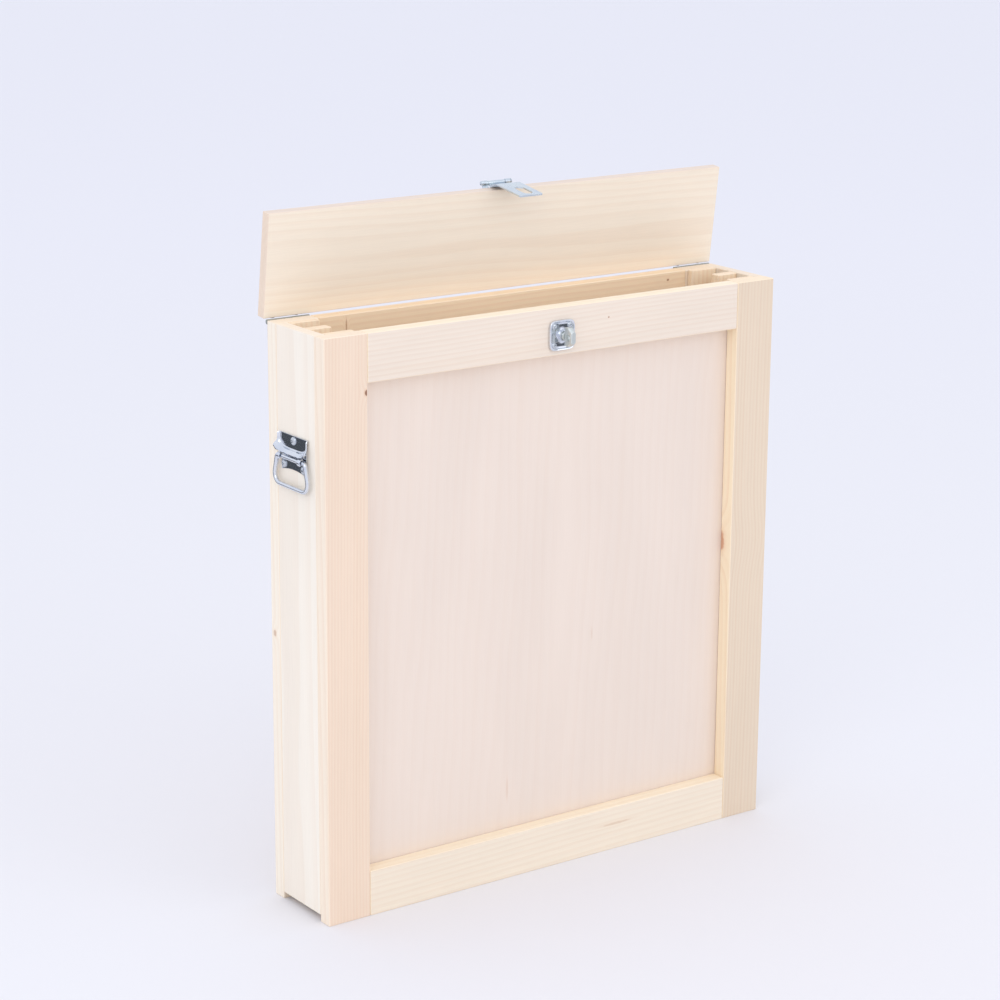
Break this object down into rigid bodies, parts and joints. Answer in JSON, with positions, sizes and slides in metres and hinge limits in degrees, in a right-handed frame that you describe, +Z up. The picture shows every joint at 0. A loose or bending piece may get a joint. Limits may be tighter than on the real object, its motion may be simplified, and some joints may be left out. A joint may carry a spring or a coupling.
{
  "type": "canvas carrying case",
  "caption": "Slim upright wooden carrying case for canvases and wet panels, open at the top under a hinged lid with a hasp, and with a bail handle at each side.",
  "frame": {"origin": "middle of the case's footprint on the floor", "axes": "+X to the right of the front, +Y from front to back, +Z up"},
  "size_m": [0.597, 0.145, 0.7375],
  "materials": {
    "pine": "planed unfinished pale pine, straight faint grain, a few small knots",
    "lid_pine": "planed unfinished pale pine, broad cathedral grain",
    "plywood": "thin pale birch or poplar plywood, sanded, faint vertical grain",
    "zinc_steel": "bluish bright zinc plating, satin",
    "bright_steel": "bright plated stamped and cast steel",
    "screw_steel": "bright zinc-plated cross-head screws"
  },
  "bodies": {
    "case": {"back_panel": "plywood", "back_rail_bottom": "pine", "back_rail_top": "pine", "back_stile_left": "pine", "back_stile_right": "pine", "corner_strip_back_left": "pine", "corner_strip_back_right": "pine", "corner_strip_front_left": "pine", "corner_strip_front_right": "pine", "floor_board": "pine", "front_panel": "plywood", "front_rail_bottom": "pine", "front_rail_top": "pine", "front_stile_left": "pine", "front_stile_right": "pine", "handle_left_plate": "bright_steel", "handle_left_screw_1": "screw_steel", "handle_left_screw_2": "screw_steel", "handle_left_screw_3": "screw_steel", "handle_right_plate": "bright_steel", "handle_right_screw_1": "screw_steel", "handle_right_screw_2": "screw_steel", "handle_right_screw_3": "screw_steel", "hinge_left_case_leaf": "zinc_steel", "hinge_left_case_screw_1": "screw_steel", "hinge_left_case_screw_2": "screw_steel", "hinge_left_pin": "zinc_steel", "hinge_right_case_leaf": "zinc_steel", "hinge_right_case_screw_1": "screw_steel", "hinge_right_case_screw_2": "screw_steel", "hinge_right_pin": "zinc_steel", "side_board_left": "pine", "side_board_right": "pine", "slot_divider_left": "pine", "slot_divider_right": "pine", "staple_plate": "bright_steel", "staple_screw_1": "screw_steel", "staple_screw_2": "screw_steel", "staple_screw_3": "screw_steel", "staple_screw_4": "screw_steel"},
    "lid": {"hasp_leaf": "zinc_steel", "hasp_pin": "zinc_steel", "hasp_screw_1": "screw_steel", "hasp_screw_2": "screw_steel", "hasp_screw_3": "screw_steel", "hinge_left_lid_leaf": "zinc_steel", "hinge_left_lid_screw_1": "screw_steel", "hinge_left_lid_screw_2": "screw_steel", "hinge_right_lid_leaf": "zinc_steel", "hinge_right_lid_screw_1": "screw_steel", "hinge_right_lid_screw_2": "screw_steel", "lid_board": "lid_pine"},
    "hasp_strap": {"hasp_strap": "zinc_steel"},
    "staple_swivel": {"staple_swivel": "bright_steel"},
    "bail_left": {"bail_left": "bright_steel"},
    "bail_right": {"bail_right": "bright_steel"}
  },
  "joints": [
    {"name": "lid_hinge", "type": "hinge", "parent": "case", "child": "lid", "pos_m": [0, 0.0563, 0.618], "axis": [-1, 0, 0], "range_deg": [-83, 95]},
    {"name": "hasp_strap_hinge", "type": "hinge", "parent": "lid", "child": "hasp_strap", "pos_m": [-0.0014, 0.06272, 0.73475], "axis": [-1, 0, 0], "range_deg": [0, 265]},
    {"name": "staple_swivel_turn", "type": "hinge", "parent": "case", "child": "staple_swivel", "pos_m": [-0.0002, -0.0633, 0.5906], "axis": [0, -1, 0], "range_deg": [0, 90]},
    {"name": "bail_left_swing", "type": "hinge", "parent": "case", "child": "bail_left", "pos_m": [-0.2942, 0.003, 0.488], "axis": [0, 1, 0], "range_deg": [-3, 90]},
    {"name": "bail_right_swing", "type": "hinge", "parent": "case", "child": "bail_right", "pos_m": [0.2942, 0.003, 0.488], "axis": [0, -1, 0], "range_deg": [-3, 90]}
  ]
}
